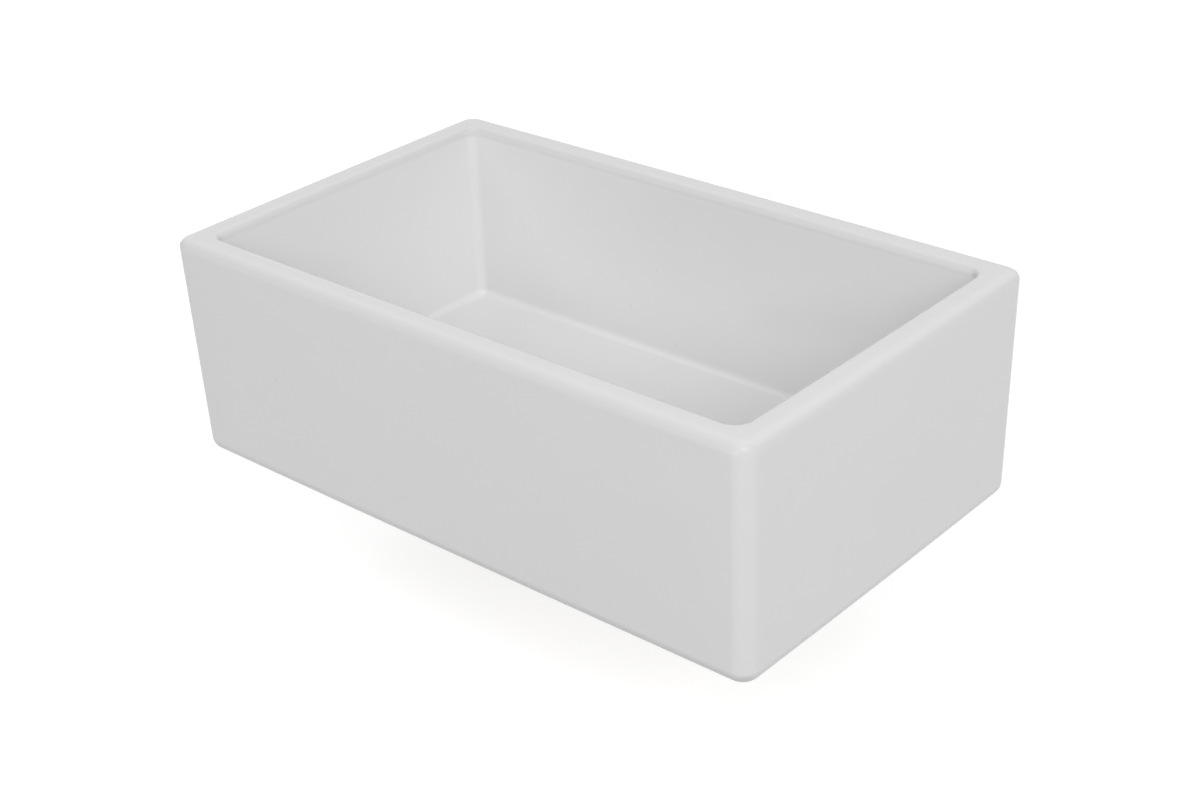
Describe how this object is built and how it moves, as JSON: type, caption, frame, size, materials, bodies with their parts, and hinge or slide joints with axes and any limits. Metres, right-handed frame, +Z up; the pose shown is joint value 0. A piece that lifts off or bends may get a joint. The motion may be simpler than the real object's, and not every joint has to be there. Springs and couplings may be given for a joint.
{
  "type": "farmhouse apron front sink",
  "caption": "Deep white fireclay kitchen sink with a tall plain apron front, rounded edges and a central drain holding a lift-out basket strainer and a tailpiece.",
  "frame": {"origin": "middle of the ceramic's flat underside, on the axis of the drain hole", "axes": "+X along the sink towards its right end seen from the front, +Y from the apron towards the back wall, +Z up"},
  "size_m": [0.762, 0.46, 0.4093],
  "materials": {
    "glaze": "smooth glossy white glaze over fireclay",
    "stainless": "satin, spun round the axis",
    "chrome": "bright plated brass",
    "brass": "as cast, faces turned",
    "rubber": "matt black",
    "fibre": "pressed fibre, waxed",
    "nylon": "milky white"
  },
  "bodies": {
    "sink": {"fireclay_body": "glaze", "strainer_body": "stainless", "flange_gasket": "rubber", "underside_gasket": "rubber", "friction_washer": "fibre", "lock_nut": "brass", "tailpiece_washer": "nylon", "tailpiece": "chrome", "coupling_nut": "chrome"},
    "basket": {"basket_cup": "stainless", "basket_seal": "rubber", "seal_plate": "stainless", "basket_post": "stainless", "post_nut": "stainless", "post_ring": "rubber", "basket_knob": "chrome"}
  },
  "joints": [
    {"name": "basket_lift", "type": "slide", "parent": "sink", "child": "basket", "axis": [0, 0, 1], "range_m": [0, 0.31]}
  ]
}
